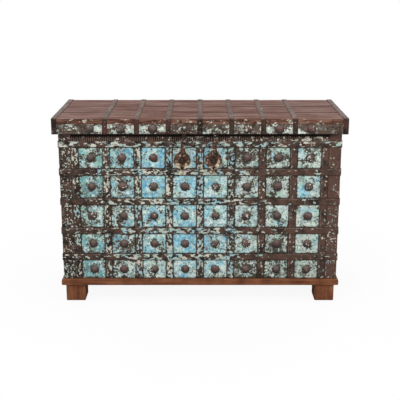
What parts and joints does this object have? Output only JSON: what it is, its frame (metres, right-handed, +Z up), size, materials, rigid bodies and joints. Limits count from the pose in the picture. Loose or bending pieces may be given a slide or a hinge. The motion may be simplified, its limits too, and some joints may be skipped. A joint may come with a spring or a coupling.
{
  "type": "console chest",
  "caption": "Iron-bound plank chest on a plinth and block feet, with a hinged lid, hanging hasps, drop handles and studded painted squares, used as a console.",
  "frame": {"origin": "on the floor, under the middle of the overall box", "axes": "+X to the chest's right as seen from the front, along its length; +Y from the front to the back; +Z up"},
  "size_m": [1.155, 0.5144, 0.7625],
  "materials": {
    "painted_boards": "chipped turquoise and mint paint over brown wood",
    "painted_lip": "chipped pale mint paint over brown wood",
    "bare_boards": "bare old wood",
    "lid_boards": "worn reddish-brown wood, waxed",
    "base_wood": "newer orange-brown wood, oiled",
    "frieze_wood": "dark brown reeded wood",
    "strap_iron": "rust-brown wrought iron with flecks of old paint",
    "stud_iron": "dark rust-brown wrought iron",
    "hardware_iron": "forged iron, rusty, with flecks of old paint"
  },
  "bodies": {
    "carcase": {"back_planks": "bare_boards", "corner_angle_back_left": "strap_iron", "corner_angle_back_right": "strap_iron", "corner_angle_front_left": "strap_iron", "corner_angle_front_right": "strap_iron", "corner_posts": "bare_boards", "floor_planks": "bare_boards", "foot_back_left": "base_wood", "foot_back_right": "base_wood", "foot_dowels": "bare_boards", "foot_front_left": "base_wood", "foot_front_right": "base_wood", "frieze_strips": "frieze_wood", "front_planks": "painted_boards", "front_studs": "stud_iron", "front_upright_straps": "strap_iron", "girth_band_1": "strap_iron", "girth_band_2": "strap_iron", "girth_band_3": "strap_iron", "girth_band_4": "strap_iron", "hinge_body_leaf_left": "hardware_iron", "hinge_body_leaf_middle": "hardware_iron", "hinge_body_leaf_right": "hardware_iron", "hinge_pins": "hardware_iron", "left_end_planks": "painted_boards", "left_end_studs": "stud_iron", "left_end_upright_straps": "strap_iron", "left_handle_eyes": "hardware_iron", "lock_staples": "hardware_iron", "plinth_back_rail": "base_wood", "plinth_front_rail": "base_wood", "plinth_left_rail": "base_wood", "plinth_right_rail": "base_wood", "right_end_planks": "painted_boards", "right_end_studs": "stud_iron", "right_end_upright_straps": "strap_iron", "right_handle_eyes": "hardware_iron", "rim_band": "strap_iron"},
    "lid": {"hinge_lid_strap_left": "strap_iron", "hinge_lid_strap_middle": "strap_iron", "hinge_lid_strap_right": "strap_iron", "lid_back_plank": "lid_boards", "lid_battens": "bare_boards", "lid_cross_straps": "strap_iron", "lid_edge_band_left": "strap_iron", "lid_edge_band_right": "strap_iron", "lid_front_lip": "painted_lip", "lid_front_plank": "lid_boards", "lid_left_lip": "painted_lip", "lid_middle_plank": "lid_boards", "lid_right_lip": "painted_lip", "lid_studs": "stud_iron", "hasp_bars": "hardware_iron"},
    "left_hasp": {"left_hasp": "hardware_iron"},
    "right_hasp": {"right_hasp": "hardware_iron"},
    "left_handle": {"left_handle_bail": "hardware_iron"},
    "right_handle": {"right_handle_bail": "hardware_iron"}
  },
  "joints": [
    {"name": "lid_hinge", "type": "hinge", "parent": "carcase", "child": "lid", "pos_m": [0, 0.2504, 0.74], "axis": [-1, 0, 0], "range_deg": [0, 105]},
    {"name": "left_hasp_hinge", "type": "hinge", "parent": "lid", "child": "left_hasp", "pos_m": [-0.06175, -0.2509, 0.707], "axis": [-1, 0, 0], "range_deg": [-9.5, 150]},
    {"name": "right_hasp_hinge", "type": "hinge", "parent": "lid", "child": "right_hasp", "pos_m": [0.06175, -0.2509, 0.707], "axis": [-1, 0, 0], "range_deg": [-9.5, 150]},
    {"name": "left_handle_hinge", "type": "hinge", "parent": "carcase", "child": "left_handle", "pos_m": [-0.5685, 0.01385, 0.51474], "axis": [0, 1, 0], "range_deg": [0, 100]},
    {"name": "right_handle_hinge", "type": "hinge", "parent": "carcase", "child": "right_handle", "pos_m": [0.5685, 0.01385, 0.51474], "axis": [0, -1, 0], "range_deg": [0, 100]}
  ]
}
